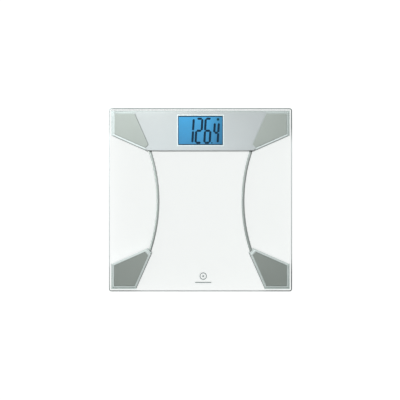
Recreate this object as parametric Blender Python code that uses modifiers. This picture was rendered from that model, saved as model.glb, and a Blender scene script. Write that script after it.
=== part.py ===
"""Square glass bathroom scale: clear platform on four load-cell feet, digital display
housing along the toe edge, two cable tubes to the heel pods, AAA battery bay below.
Frame: +X right, +Y toward the display (toe) edge, +Z up, floor at Z = 0."""
import math

import bmesh
import bpy
from mathutils import Matrix, Vector

MM = 0.001

# platform, millimetres
GLASS_SIDE = 305.0
GLASS_Z0, GLASS_Z1 = 19.0, 25.0
GLASS_CORNER_R = 4.0
GLASS_ARRIS = 0.9
HALF = GLASS_SIDE / 2

# corner pod outline, measured inward from a glass corner
POD = [(4.5, 4.5), (45.3, 4.5), (71.6, 64.0), (64.0, 71.6), (4.5, 45.3)]
RIM = [4.2, 4.2, 7.2, 4.2, 4.2]
WALL = 1.6
POD_Z0, WAIST_Z, SHOULDER_Z, ROOF_Z = 4.0, 12.4, 16.4, 17.9
SHOULDER_IN = [0.4, 1.6, 1.6, 1.6, 0.4]
ROOF_UNDER = 16.5
FOOT_INSET = 30.0
PAD_Z0, PAD_Z1 = 18.2, 18.7

# display housing between the two toe pods
HOUSING_MID = [(-89.2, 81.2), (89.2, 81.2), (94.0, 89.0), (110.5, 147.4),
               (-110.5, 147.4), (-94.0, 89.0)]
MID_DRAFT = 1.4
WINDOW_Y = 115.5
WINDOW_W, WINDOW_H = 75.5, 49.8
PANEL_Y = 114.5
PANEL_HALF_W, PANEL_HALF_H = 40.5, 27.5
COVER_Z0, COVER_Z1 = 4.0, 6.0

# battery bay and its door
BAY_X0, BAY_X1 = 47.4, 97.0
BAY_Y0, BAY_Y1 = 94.4, 141.0
BAY_WALL = 1.2
CELL_R, CELL_LEN, CELL_PITCH, CELL_Z = 5.25, 44.5, 10.9, 10.75
CELL_Y_TOP = 132.85
HINGE_Y, HINGE_Z = 139.2, 5.3

# unit button
BUTTON_X, BUTTON_Y = -60.0, 114.5

# cable tubes: arc centre on each side, tube height
ARC_R, ARC_CX, ARC_CY, TUBE_Z = 265.6, 336.9, -1.85, 12.0
TUBE_R, TUBE_BORE_R, CABLE_R = 2.5, 1.5, 0.9

TOE_SCREWS = [(-141.0, 141.0), (141.0, 141.0), (-103.5, 97.0), (103.5, 97.0),
              (-52.0, 87.2), (72.0, 87.2)]
HEEL_SCREWS = [(11.5, 11.5), (54.0, 54.0)]
CELL_POSTS = [(18.0, 18.0), (42.0, 18.0), (18.0, 42.0), (42.0, 42.0)]

for old in list(bpy.data.objects):
    bpy.data.objects.remove(old, do_unlink=True)

scene = bpy.context.scene
PARTS = bpy.data.collections.new("bathroom_scale")
CUTTERS = bpy.data.collections.new("cutters")
scene.collection.children.link(PARTS)
scene.collection.children.link(CUTTERS)


def paint(obj, color, roughness=0.5, metallic=0.0, transmission=0.0):
    mat = bpy.data.materials.new(obj.name + "_mat")
    mat.use_nodes = True
    bsdf = mat.node_tree.nodes["Principled BSDF"]
    bsdf.inputs["Base Color"].default_value = (*color, 1.0)
    bsdf.inputs["Roughness"].default_value = roughness
    bsdf.inputs["Metallic"].default_value = metallic
    bsdf.inputs["Transmission Weight"].default_value = transmission
    mat.diffuse_color = (*color, 1.0)
    obj.data.materials.clear()
    obj.data.materials.append(mat)
    return obj


def place(name, bm, coll=PARTS, smooth=False, origin=None):
    """Turn a bmesh in millimetres into an object in metres, origin at a given point."""
    bmesh.ops.recalc_face_normals(bm, faces=bm.faces[:])
    shift = Vector(origin) if origin else Vector((0.0, 0.0, 0.0))
    bmesh.ops.translate(bm, verts=bm.verts[:], vec=-shift)
    bmesh.ops.scale(bm, verts=bm.verts[:], vec=(MM, MM, MM))
    mesh = bpy.data.meshes.new(name)
    bm.to_mesh(mesh)
    bm.free()
    if smooth:
        mesh.polygons.foreach_set("use_smooth", [True] * len(mesh.polygons))
        mesh.set_sharp_from_angle(angle=math.radians(35))
    obj = bpy.data.objects.new(name, mesh)
    obj.location = shift * MM
    coll.objects.link(obj)
    if coll is CUTTERS:
        obj.hide_render = True
        obj.display_type = "WIRE"
    return obj


def box(bm, x0, x1, y0, y1, z0, z1):
    move = Matrix.Translation(((x0 + x1) / 2, (y0 + y1) / 2, (z0 + z1) / 2))
    size = Matrix.Diagonal((x1 - x0, y1 - y0, z1 - z0, 1.0))
    bmesh.ops.create_cube(bm, size=1.0, matrix=move @ size)


def rod(bm, start, end, r0, r1=None, segments=24):
    """Cylinder or cone frustum between two points."""
    a, b = Vector(start), Vector(end)
    turn = (b - a).to_track_quat("Z", "Y").to_matrix().to_4x4()
    bmesh.ops.create_cone(bm, cap_ends=True, segments=segments, radius1=r0,
                          radius2=r0 if r1 is None else r1, depth=(b - a).length,
                          matrix=Matrix.Translation((a + b) / 2) @ turn)


def loft(bm, sections):
    """Closed skin through outlines of equal point count, given as (z, outline)."""
    rings = [[bm.verts.new((x, y, z)) for x, y in pts] for z, pts in sections]
    count = len(rings[0])
    for low, high in zip(rings, rings[1:]):
        for i in range(count):
            j = (i + 1) % count
            bm.faces.new((low[i], low[j], high[j], high[i]))
    bm.faces.new(list(reversed(rings[0])))
    bm.faces.new(rings[-1])


def mesh_from_curve(name, curve):
    temp = bpy.data.objects.new(name, curve)
    scene.collection.objects.link(temp)
    graph = bpy.context.evaluated_depsgraph_get()
    mesh = bpy.data.meshes.new_from_object(temp.evaluated_get(graph))
    bpy.data.objects.remove(temp, do_unlink=True)
    bpy.data.curves.remove(curve)
    bm = bmesh.new()
    bm.from_mesh(mesh)
    bpy.data.meshes.remove(mesh)
    bmesh.ops.remove_doubles(bm, verts=bm.verts[:], dist=0.0005)
    return bm


def plate(name, outlines, z0, z1, coll=PARTS):
    """Flat plate: the first outline is its edge, the others are holes."""
    curve = bpy.data.curves.new(name, "CURVE")
    curve.dimensions = "2D"
    curve.fill_mode = "BOTH"
    curve.extrude = (z1 - z0) / 2
    for pts in outlines:
        spline = curve.splines.new("POLY")
        spline.points.add(len(pts) - 1)
        for point, (x, y) in zip(spline.points, pts):
            point.co = (x, y, 0.0, 1.0)
        spline.use_cyclic_u = True
    bm = mesh_from_curve(name, curve)
    bmesh.ops.translate(bm, verts=bm.verts[:], vec=(0.0, 0.0, (z0 + z1) / 2))
    return place(name, bm, coll)


def tube(name, path, radius, coll=PARTS, resolution=2):
    curve = bpy.data.curves.new(name, "CURVE")
    curve.dimensions = "3D"
    curve.bevel_depth = radius
    curve.bevel_resolution = resolution
    curve.use_fill_caps = True
    spline = curve.splines.new("POLY")
    spline.points.add(len(path) - 1)
    for point, co in zip(spline.points, path):
        point.co = (*co, 1.0)
    return place(name, mesh_from_curve(name, curve), coll, smooth=True)


def turned(name, profile, origin, coll=PARTS, steps=32, turn=None):
    """Round piece from a profile given from its top down its outer side."""
    mesh = bpy.data.meshes.new(name)
    mesh.from_pydata([(r * MM, 0.0, z * MM) for r, z in profile],
                     [(i, i + 1) for i in range(len(profile) - 1)], [])
    obj = bpy.data.objects.new(name, mesh)
    obj.location = Vector(origin) * MM
    if turn:
        obj.rotation_euler = turn
    coll.objects.link(obj)
    screw = obj.modifiers.new("turn", "SCREW")
    screw.axis = "Z"
    screw.steps = steps
    screw.render_steps = steps
    screw.use_merge_vertices = True
    screw.merge_threshold = 0.00001
    screw.use_smooth_shade = True
    if coll is CUTTERS:
        obj.hide_render = True
        obj.display_type = "WIRE"
    return obj


def combine(obj, other, operation):
    mod = obj.modifiers.new(operation.lower(), "BOOLEAN")
    mod.operation = operation
    mod.solver = "EXACT"
    mod.object = other
    return obj


def cutter(name, shapes):
    """One hidden tool object holding several separate rods or boxes."""
    bm = bmesh.new()
    for kind, *values in shapes:
        (rod if kind == "rod" else box)(bm, *values)
    return place(name, bm, CUTTERS)


def inset(pts, amounts):
    """Move every edge of an anticlockwise outline inward by its own amount."""
    count = len(pts)
    lines = []
    for i in range(count):
        a, b = Vector(pts[i]), Vector(pts[(i + 1) % count])
        d = (b - a).normalized()
        n = Vector((-d.y, d.x))
        lines.append((a + n * amounts[i], d))
    out = []
    for i in range(count):
        (p, d), (q, e) = lines[i - 1], lines[i]
        cross = d.x * e.y - d.y * e.x
        t = ((q.x - p.x) * e.y - (q.y - p.y) * e.x) / cross
        out.append((p.x + d.x * t, p.y + d.y * t))
    return out


def pod_outline(amount, rim, sx, sy):
    """Pod outline at one platform corner, moved inward by an amount plus a width for each edge."""
    pts = inset(POD, [amount + (rim[i] if rim else 0.0) for i in range(5)])
    out = [(sx * (HALF - u), sy * (HALF - v)) for u, v in pts]
    return out if sx * sy > 0 else list(reversed(out))


def circle(cx, cy, r, count=28):
    return [(cx + r * math.cos(2 * math.pi * i / count),
             cy + r * math.sin(2 * math.pi * i / count)) for i in range(count)]


def at_corner(u, v, sx, sy):
    return sx * (HALF - u), sy * (HALF - v)


def arc_point(sx, y):
    return sx * (ARC_CX - math.sqrt(ARC_R ** 2 - (y - ARC_CY) ** 2))


def tube_hole(sx, y, reach):
    """Rod along the cable tube's direction where it passes a wall."""
    x0, x1 = arc_point(sx, y - 1.0), arc_point(sx, y + 1.0)
    d = Vector((x1 - x0, 2.0, 0.0)).normalized() * reach
    c = Vector((arc_point(sx, y), y, TUBE_Z))
    return ("rod", c - d, c + d, TUBE_R + 0.4, None, 24)


CORNERS = {"toe_left": (-1, 1), "toe_right": (1, 1),
           "heel_left": (-1, -1), "heel_right": (1, -1)}
SIDES = {"left": -1, "right": 1}

# glass platform
corner = []
for k, (cx, cy) in enumerate([(1, 1), (-1, 1), (-1, -1), (1, -1)]):
    for step in range(7):
        a = math.radians(90 * k + 15 * step)
        corner.append((cx * (HALF - GLASS_CORNER_R) + GLASS_CORNER_R * math.cos(a),
                       cy * (HALF - GLASS_CORNER_R) + GLASS_CORNER_R * math.sin(a)))
glass = plate("glass_platform", [corner], GLASS_Z0, GLASS_Z1)
arris = glass.modifiers.new("arris", "BEVEL")
arris.width = GLASS_ARRIS * MM
arris.segments = 2
arris.limit_method = "ANGLE"
arris.angle_limit = math.radians(60)
paint(glass, (0.86, 0.94, 0.91), 0.02, 0.0, 1.0)

# bonding pads between the pods and the glass
for label, (sx, sy) in CORNERS.items():
    pad = plate("bond_pad_" + label, [pod_outline(0.3, RIM, sx, sy)], PAD_Z0, PAD_Z1)
    paint(pad, (0.36, 0.39, 0.37), 0.45)

# silver display fascia with its window
half_fascia = [(89.0, 82.7), (91.9, 86.4), (85.6, 93.2), (108.6, 147.0)]
fascia_edge = half_fascia + [(-x, y) for x, y in reversed(half_fascia)]
wx, wy = WINDOW_W / 2, WINDOW_H / 2
window = [(-wx, WINDOW_Y - wy), (wx, WINDOW_Y - wy), (wx, WINDOW_Y + wy), (-wx, WINDOW_Y + wy)]
fascia = plate("display_fascia", [fascia_edge, window], PAD_Z0, PAD_Z1)
paint(fascia, (0.66, 0.68, 0.69), 0.3, 0.8)


def panel_box(more_x, more_y, z0, z1):
    """Box around the display panel, larger than it by a margin on each side."""
    half_x, half_y = PANEL_HALF_W + more_x, PANEL_HALF_H + more_y
    return ("box", -half_x, half_x, PANEL_Y - half_y, PANEL_Y + half_y, z0, z1)


def pod_shell(bm, sx, sy):
    loft(bm, [(POD_Z0, pod_outline(0.0, None, sx, sy)),
              (WAIST_Z, pod_outline(0.0, None, sx, sy)),
              (SHOULDER_Z, pod_outline(0.0, SHOULDER_IN, sx, sy)),
              (ROOF_Z, pod_outline(0.0, RIM, sx, sy))])


def pod_cavity(bm, sx, sy):
    loft(bm, [(POD_Z0 - 1.0, pod_outline(WALL, None, sx, sy)),
              (WAIST_Z - 0.7, pod_outline(WALL, None, sx, sy)),
              (SHOULDER_Z - 1.2, pod_outline(WALL + 0.2, SHOULDER_IN, sx, sy)),
              (ROOF_UNDER, pod_outline(WALL - 0.2, RIM, sx, sy))])


# display housing: two toe pods joined by the display body, hollow from below
bm = bmesh.new()
pod_shell(bm, -1, 1)
pod_shell(bm, 1, 1)
housing = place("display_housing", bm)
bm = bmesh.new()
loft(bm, [(POD_Z0 + 0.15, HOUSING_MID),
          (SHOULDER_Z, inset(HOUSING_MID, [MID_DRAFT, 0.0, 0.0, 0.2, 0.0, 0.0])),
          (ROOF_Z - 0.05, inset(HOUSING_MID, [MID_DRAFT + 0.6, 0.0, 0.0, 0.9, 0.0, 0.0]))])
combine(housing, place("housing_mid", bm, CUTTERS), "UNION")
bm = bmesh.new()
pod_cavity(bm, -1, 1)
pod_cavity(bm, 1, 1)
combine(housing, place("housing_pod_cavity", bm, CUTTERS), "DIFFERENCE")
bm = bmesh.new()
mid_inner = inset(HOUSING_MID, [WALL + MID_DRAFT] + [WALL] * 5)
loft(bm, [(POD_Z0 - 0.8, mid_inner), (ROOF_UNDER - 0.05, mid_inner)])
combine(housing, place("housing_mid_cavity", bm, CUTTERS), "DIFFERENCE")
posts = [("rod", (x, y, COVER_Z1 + 0.3), (x, y, 17.0), 2.6, None, 14) for x, y in TOE_SCREWS]
holes = [("rod", (x, y, COVER_Z1 - 1.0), (x, y, 13.5), 1.3, None, 10) for x, y in TOE_SCREWS]
for sx in (-1, 1):
    for u, v in CELL_POSTS:
        x, y = at_corner(u, v, sx, 1)
        posts.append(("rod", (x, y, 12.0), (x, y, 17.2), 2.2, None, 12))
combine(housing, cutter("housing_posts", posts), "UNION")
combine(housing, cutter("housing_pilot_holes", holes), "DIFFERENCE")
combine(housing, cutter("housing_openings", [
    panel_box(1.1, 1.1, 15.0, 19.0),
    tube_hole(-1, 82.6, 4.4), tube_hole(1, 82.6, 4.4)]), "DIFFERENCE")
paint(housing, (0.80, 0.82, 0.81), 0.4)

# heel pods
for side, sx in SIDES.items():
    bm = bmesh.new()
    pod_shell(bm, sx, -1)
    pod = place("heel_pod_" + side, bm)
    bm = bmesh.new()
    pod_cavity(bm, sx, -1)
    combine(pod, place("heel_cavity_" + side, bm, CUTTERS), "DIFFERENCE")
    posts, holes = [], []
    for u, v in HEEL_SCREWS:
        x, y = at_corner(u, v, sx, -1)
        posts.append(("rod", (x, y, COVER_Z1 + 0.3), (x, y, 17.0), 2.6, None, 14))
        holes.append(("rod", (x, y, COVER_Z1 - 1.0), (x, y, 13.5), 1.3, None, 10))
    for u, v in CELL_POSTS:
        x, y = at_corner(u, v, sx, -1)
        posts.append(("rod", (x, y, 12.0), (x, y, 17.2), 2.2, None, 12))
    holes.append(tube_hole(sx, -84.7, 5.5))
    combine(pod, cutter("heel_posts_" + side, posts), "UNION")
    combine(pod, cutter("heel_holes_" + side, holes), "DIFFERENCE")
    paint(pod, (0.80, 0.82, 0.81), 0.4)

# back cover of the display housing with the battery bay walls
cover_edge = inset([(-88.5, 81.2), (88.5, 81.2), (148.0, 107.2), (148.0, 147.5),
                    (-148.0, 147.5), (-148.0, 107.2)], [MID_DRAFT + 2.0] + [2.0] * 5)
foot_holes = [circle(*at_corner(FOOT_INSET, FOOT_INSET, sx, 1), 15.8) for sx in (-1, 1)]
cover = plate("back_cover", [cover_edge, *foot_holes, circle(BUTTON_X, BUTTON_Y, 4.6, 24)],
              COVER_Z0, COVER_Z1)
combine(cover, cutter("cover_bay_wall", [
    ("box", BAY_X0 - BAY_WALL, BAY_X1 + BAY_WALL, BAY_Y0 - BAY_WALL, BAY_Y1 + BAY_WALL, 5.0, 16.1)]),
    "UNION")
combine(cover, cutter("cover_board_posts", [
    ("rod", (x, y, 5.5), (x, y, 9.7), 2.0, None, 16)
    for x, y in [(-62.0, 137.0), (-40.0, 91.5), (36.0, 91.5), (36.0, 138.0)]]), "UNION")
combine(cover, cutter("cover_bay_opening", [
    ("box", BAY_X0, BAY_X1, BAY_Y0, BAY_Y1, 3.0, 17.0)]), "DIFFERENCE")
combine(cover, cutter("cover_screw_seats", [
    ("rod", (x, y, 3.0), (x, y, 5.2), 2.6, None, 16) for x, y in TOE_SCREWS]), "DIFFERENCE")
combine(cover, cutter("cover_screw_holes", [
    ("rod", (x, y, 3.5), (x, y, 7.0), 1.4, None, 12) for x, y in TOE_SCREWS]
    + [("rod", (BAY_X0 - 1.8, HINGE_Y, HINGE_Z), (BAY_X0 + 0.5, HINGE_Y, HINGE_Z), 0.9, None, 16),
       ("rod", (BAY_X1 - 0.5, HINGE_Y, HINGE_Z), (BAY_X1 + 1.8, HINGE_Y, HINGE_Z), 0.9, None, 16)]),
    "DIFFERENCE")
paint(cover, (0.74, 0.76, 0.75), 0.5)

# heel pod covers
for side, sx in SIDES.items():
    name = "heel_cover_" + side
    lid = plate(name, [pod_outline(2.0, None, sx, -1),
                       circle(*at_corner(FOOT_INSET, FOOT_INSET, sx, -1), 15.8)],
                COVER_Z0, COVER_Z1)
    spots = [at_corner(u, v, sx, -1) for u, v in HEEL_SCREWS]
    combine(lid, cutter(name + "_seats", [
        ("rod", (x, y, 3.0), (x, y, 5.2), 2.6, None, 16) for x, y in spots]), "DIFFERENCE")
    combine(lid, cutter(name + "_holes", [
        ("rod", (x, y, 3.5), (x, y, 7.0), 1.4, None, 12) for x, y in spots]), "DIFFERENCE")
    paint(lid, (0.74, 0.76, 0.75), 0.5)

# cover screws with a cross recess
screw_profile = [(0.0, 12.6), (0.9, 12.0), (1.0, 11.0), (1.0, 4.9), (2.2, 4.9), (2.2, 4.3),
                 (1.9, 4.05), (0.0, 4.0)]
screw_spots = [("back_cover_screw_%d" % (i + 1), xy) for i, xy in enumerate(TOE_SCREWS)]
for side, sx in SIDES.items():
    for i, (u, v) in enumerate(HEEL_SCREWS):
        screw_spots.append(("heel_cover_screw_%s_%d" % (side, i + 1), at_corner(u, v, sx, -1)))
for name, (x, y) in screw_spots:
    item = turned(name, screw_profile, (x, y, 0.0), steps=12)
    combine(item, cutter(name + "_slot", [("box", x - 1.3, x + 1.3, y - 0.3, y + 0.3, 3.5, 4.5)]),
            "DIFFERENCE")
    combine(item, cutter(name + "_cross", [("box", x - 0.3, x + 0.3, y - 1.3, y + 1.3, 3.5, 4.51)]),
            "DIFFERENCE")
    paint(item, (0.55, 0.56, 0.57), 0.3, 1.0)

# load cells, foot caps and rubber soles
for label, (sx, sy) in CORNERS.items():
    fx, fy = at_corner(FOOT_INSET, FOOT_INSET, sx, sy)
    frame_edge = [(fx - 15, fy - 15), (fx + 15, fy - 15), (fx + 15, fy + 15), (fx - 15, fy + 15)]
    slot = [(-9.5, -9.5), (9.5, -9.5), (9.5, 9.5), (7.5, 9.5), (7.5, -7.5), (-7.5, -7.5),
            (-7.5, 9.5), (-9.5, 9.5)]
    cell = plate("load_cell_" + label, [frame_edge, [(fx + x, fy + y) for x, y in slot]],
                 9.2, 11.7)
    paint(cell, (0.62, 0.63, 0.64), 0.35, 1.0)
    cap = turned("foot_cap_" + label, [
        (0.0, 8.3), (4.6, 8.3), (5.0, 7.9), (5.0, 7.7), (17.0, 7.7), (17.0, 6.4), (15.4, 6.4),
        (15.4, 1.8), (14.9, 1.2), (13.9, 1.2), (13.9, 1.9), (0.0, 1.9)], (fx, fy, 0.0), steps=28)
    paint(cap, (0.70, 0.72, 0.71), 0.5)
    sole = turned("foot_sole_" + label, [
        (0.0, 1.6), (13.5, 1.6), (13.5, 0.4), (13.1, 0.0), (11.0, 0.0), (10.7, 0.4),
        (9.3, 0.4), (9.0, 0.0), (0.0, 0.0)], (fx, fy, 0.0), steps=28)
    paint(sole, (0.10, 0.10, 0.105), 0.8)

# cable tubes and the sensor cables
for side, sx in SIDES.items():
    arc = [(arc_point(sx, y), y, TUBE_Z) for y in
           [-86.4 + (84.9 + 86.4) * i / 16 for i in range(17)]]
    pipe = tube("cable_tube_" + side, arc, TUBE_R, resolution=3)
    first, last = Vector(arc[0]), Vector(arc[-1])
    d0 = (first - Vector(arc[1])).normalized() * 3.0
    d1 = (last - Vector(arc[-2])).normalized() * 3.0
    bore = tube("cable_bore_" + side, [first + d0, *arc, last + d1], TUBE_BORE_R, CUTTERS, 3)
    combine(pipe, bore, "DIFFERENCE")
    paint(pipe, (0.50, 0.52, 0.52), 0.35)

    run = [(*at_corner(46.6, 40.0, sx, -1), 10.4), (*at_corner(52.0, 44.6, sx, -1), 10.6),
           (*at_corner(58.2, 50.4, sx, -1), 11.2), (*at_corner(62.6, 57.0, sx, -1), 11.8)]
    run += [(arc_point(sx, y), y, TUBE_Z) for y in
            [-88.0 + (86.0 + 88.0) * i / 16 for i in range(17)]]
    if sx < 0:
        run += [(-83.2, 89.6, 11.6), (-79.0, 93.0, 10.4), (-73.0, 97.4, 9.2), (-64.0, 100.6, 8.7),
                (-54.0, 101.6, 8.7)]
    else:
        run += [(83.0, 88.6, 11.5), (79.0, 90.6, 10.4), (74.0, 91.5, 9.6), (60.0, 91.4, 8.8),
                (48.0, 91.3, 8.7), (43.0, 93.4, 8.7), (39.6, 97.2, 8.7), (34.0, 100.0, 8.7),
                (27.0, 101.0, 8.7)]
    paint(tube("sensor_cable_heel_" + side, run, CABLE_R), (0.08, 0.08, 0.09), 0.6)

toe_runs = {
    "left": [(-106.8, 124.0, 10.4), (-100.0, 124.4, 9.8), (-90.0, 125.6, 9.0),
             (-78.0, 127.4, 8.7), (-66.0, 128.6, 8.7), (-54.0, 128.8, 8.7)],
    "right": [(106.8, 128.0, 10.4), (104.4, 131.6, 10.2), (102.6, 136.6, 10.0),
              (102.0, 141.0, 9.8), (99.6, 143.9, 9.7), (94.0, 144.3, 9.6), (60.0, 144.3, 9.0),
              (47.0, 144.0, 8.8), (38.0, 142.4, 8.7), (30.0, 139.6, 8.7), (25.0, 134.0, 8.7)]}
for side, run in toe_runs.items():
    paint(tube("sensor_cable_toe_" + side, run, CABLE_R), (0.08, 0.08, 0.09), 0.6)

# liquid-crystal display stack
bm = bmesh.new()
box(bm, *panel_box(0.0, 0.0, 15.0, 17.2)[1:])
paint(place("lcd_panel", bm), (0.10, 0.32, 0.55), 0.1)
bm = bmesh.new()
box(bm, *panel_box(4.5, 2.4, 11.9, 16.15)[1:])
frame = place("lcd_frame", bm)
combine(frame, cutter("lcd_frame_recess", [panel_box(0.4, 0.4, 14.7, 17.0)]), "DIFFERENCE")
combine(frame, cutter("lcd_frame_openings", [
    ("box", -38.4, 38.4, 89.9, 140.1, 11.0, 15.5),
    ("box", -36.4, 36.4, 86.7, 88.9, 11.0, 15.4)]), "DIFFERENCE")
paint(frame, (0.86, 0.86, 0.84), 0.5)
bm = bmesh.new()
box(bm, -38.0, 38.0, 90.3, 139.7, 11.9, 14.7)
paint(place("backlight_guide", bm), (0.75, 0.86, 0.95), 0.15)
bm = bmesh.new()
box(bm, -36.0, 36.0, 87.1, 88.5, 11.9, 14.7)
paint(place("zebra_strip", bm), (0.20, 0.20, 0.20), 0.7)

# circuit board, controller blob and button switch
board = plate("main_board", [[(-66.0, 88.0), (42.0, 88.0), (42.0, 141.0), (-66.0, 141.0)],
                             circle(-20.0, 137.0, 1.6, 16)], 10.0, 11.6)
combine(board, cutter("board_notch", [("rod", (-52.0, 87.2, 9.0), (-52.0, 87.2, 12.5),
                                       3.2, None, 24)]), "DIFFERENCE")
paint(board, (0.05, 0.22, 0.10), 0.45)
blob = turned("controller_chip", [(0.0, 9.7), (7.0, 9.7), (7.0, 9.3), (6.2, 8.7), (4.5, 8.2),
                                  (2.4, 7.9), (0.0, 7.8)], (-12.0, 113.0, 0.0), steps=28)
paint(blob, (0.02, 0.02, 0.02), 0.35)
bm = bmesh.new()
box(bm, BUTTON_X - 3.0, BUTTON_X + 3.0, BUTTON_Y - 3.0, BUTTON_Y + 3.0, 8.6, 9.7)
switch = place("unit_switch", bm)
combine(switch, cutter("switch_plunger", [("rod", (BUTTON_X, BUTTON_Y, 8.1),
                                           (BUTTON_X, BUTTON_Y, 9.0), 1.7, None, 20)]), "UNION")
paint(switch, (0.30, 0.30, 0.31), 0.4, 0.6)
button = turned("unit_button", [(0.0, 7.0), (5.2, 7.0), (5.2, 6.3), (4.1, 6.3), (4.1, 4.9),
                                (3.7, 4.5), (2.6, 4.55), (0.0, 4.8)],
                (BUTTON_X, BUTTON_Y, 0.0), steps=32)
paint(button, (0.55, 0.57, 0.57), 0.5)

# battery cells and their contacts; odd rows point left, even rows right
rows = [CELL_Y_TOP - CELL_PITCH * i for i in range(4)]
SPRING, BUMP, STRIP = 2.6, 0.45, 0.4
left_face, right_face = BAY_X0 + 0.3 + STRIP, BAY_X1 - 0.3 - STRIP
for i, y in enumerate(rows):
    left = i % 2 == 0
    tip = left_face + BUMP + 0.35 if left else right_face - BUMP - 0.35
    cell = turned("battery_%d" % (i + 1), [
        (0.0, 0.0), (1.8, 0.0), (1.9, -0.1), (1.9, -0.9), (4.6, -0.9), (CELL_R, -1.4),
        (CELL_R, -CELL_LEN + 0.4), (CELL_R - 0.4, -CELL_LEN), (0.0, -CELL_LEN)],
        (tip, y, CELL_Z), steps=20, turn=(0.0, math.radians(-90 if left else 90), 0.0))
    paint(cell, (0.20, 0.22, 0.24), 0.35, 0.4)


def contact(name, at_left, y0, y1, spring_row, bump_row):
    face = left_face if at_left else right_face
    way = 1 if at_left else -1
    back = face - way * STRIP
    bm = bmesh.new()
    box(bm, min(face, back), max(face, back), y0, y1, 7.2, 14.6)
    item = place(name, bm)
    root = face - way * STRIP / 2
    noses = []
    if spring_row is not None:
        noses.append(("rod", (root, rows[spring_row], CELL_Z),
                      (face + way * SPRING, rows[spring_row], CELL_Z), 3.4, 1.9, 16))
    if bump_row is not None:
        noses.append(("rod", (root, rows[bump_row], CELL_Z),
                      (face + way * BUMP, rows[bump_row], CELL_Z), 2.0, 1.2, 16))
    combine(item, cutter(name + "_nose", noses), "UNION")
    paint(item, (0.70, 0.70, 0.68), 0.3, 1.0)


contact("contact_positive", True, rows[0] - 4.2, rows[0] + 4.2, None, 0)
contact("contact_link_1", False, rows[1] - 4.2, rows[0] + 4.2, 0, 1)
contact("contact_link_2", True, rows[2] - 4.2, rows[1] + 4.2, 1, 2)
contact("contact_link_3", False, rows[3] - 4.2, rows[2] + 4.2, 2, 3)
contact("contact_negative", True, rows[3] - 4.2, rows[3] + 4.2, 3, None)

# hinged battery door, origin on its hinge axis
bm = bmesh.new()
box(bm, BAY_X0 + 0.4, BAY_X1 - 0.4, BAY_Y0 + 0.4, HINGE_Y, 4.0, 5.2)
door = place("battery_door", bm, origin=((BAY_X0 + BAY_X1) / 2, HINGE_Y, HINGE_Z))
combine(door, cutter("door_barrel", [
    ("rod", (BAY_X0 + 0.4, HINGE_Y, HINGE_Z), (BAY_X1 - 0.4, HINGE_Y, HINGE_Z), 1.2, None, 24)]),
    "UNION")
combine(door, cutter("door_pins", [
    ("rod", (BAY_X0 - 1.4, HINGE_Y, HINGE_Z), (BAY_X0 + 1.4, HINGE_Y, HINGE_Z), 0.6, None, 16),
    ("rod", (BAY_X1 - 1.4, HINGE_Y, HINGE_Z), (BAY_X1 + 1.4, HINGE_Y, HINGE_Z), 0.6, None, 16)]),
    "UNION")
combine(door, cutter("door_grip", [
    ("box", 62.0, 82.4, BAY_Y0 + 3.0 + 2.4 * i, BAY_Y0 + 4.2 + 2.4 * i, 3.5, 4.4)
    for i in range(3)]), "DIFFERENCE")
paint(door, (0.74, 0.76, 0.75), 0.5)
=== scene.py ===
"""Looks of the square glass bathroom scale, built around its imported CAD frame.

The fascia, toe rims, display and ground glass edge carry gradients that stand for the photo's
studio light, and the lamps and the room are set up for the one view of the photo.
"""
import math

import bmesh
import bpy
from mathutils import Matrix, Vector


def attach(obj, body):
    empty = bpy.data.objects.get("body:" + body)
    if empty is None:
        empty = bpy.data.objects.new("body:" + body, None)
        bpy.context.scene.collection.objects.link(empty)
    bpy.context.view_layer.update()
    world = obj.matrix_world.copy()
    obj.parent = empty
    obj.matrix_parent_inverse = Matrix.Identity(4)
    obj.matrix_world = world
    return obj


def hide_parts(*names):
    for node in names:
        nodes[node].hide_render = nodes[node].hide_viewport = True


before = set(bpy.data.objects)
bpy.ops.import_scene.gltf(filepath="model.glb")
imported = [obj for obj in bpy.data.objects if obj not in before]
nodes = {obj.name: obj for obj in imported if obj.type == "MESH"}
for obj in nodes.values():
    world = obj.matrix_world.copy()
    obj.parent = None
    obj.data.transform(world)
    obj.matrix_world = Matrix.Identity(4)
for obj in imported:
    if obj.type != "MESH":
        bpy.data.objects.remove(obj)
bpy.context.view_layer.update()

MM = 0.001
scene = bpy.context.scene

# ---------------------------------------------------------------- node helpers


def new_material(name):
    mat = bpy.data.materials.new(name)
    mat.use_nodes = True
    tree = mat.node_tree
    return mat, tree, tree.nodes["Principled BSDF"]


def node(tree, kind, inputs=None, **props):
    n = tree.nodes.new(kind)
    for key, value in props.items():
        setattr(n, key, value)
    for key, value in (inputs or {}).items():
        n.inputs[key].default_value = value
    return n


def link(tree, a, out, b, inp):
    tree.links.new(a.outputs[out], b.inputs[inp])


def plug(tree, value, socket):
    """Feed an input from an output socket or from a constant."""
    if hasattr(value, "is_output"):
        tree.links.new(value, socket)
    else:
        socket.default_value = value


def object_axes(tree):
    """Texture coordinates, and the object's own X, Y and Z in metres."""
    coord = node(tree, "ShaderNodeTexCoord")
    split = node(tree, "ShaderNodeSeparateXYZ")
    link(tree, coord, "Object", split, "Vector")
    return coord, split.outputs


def ramp(tree, source, start, end, low=0.0, high=1.0):
    """Value that runs from low to high while the source runs from start to end."""
    r = node(tree, "ShaderNodeMapRange", {"From Min": start, "From Max": end})
    plug(tree, source, r.inputs["Value"])
    plug(tree, low, r.inputs["To Min"])
    plug(tree, high, r.inputs["To Max"])
    return r.outputs["Result"]


def calc(tree, operation, *terms):
    """Math node on output sockets and constants."""
    m = node(tree, "ShaderNodeMath", operation=operation)
    for term, socket in zip(terms, m.inputs):
        plug(tree, term, socket)
    return m.outputs[0]


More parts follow.
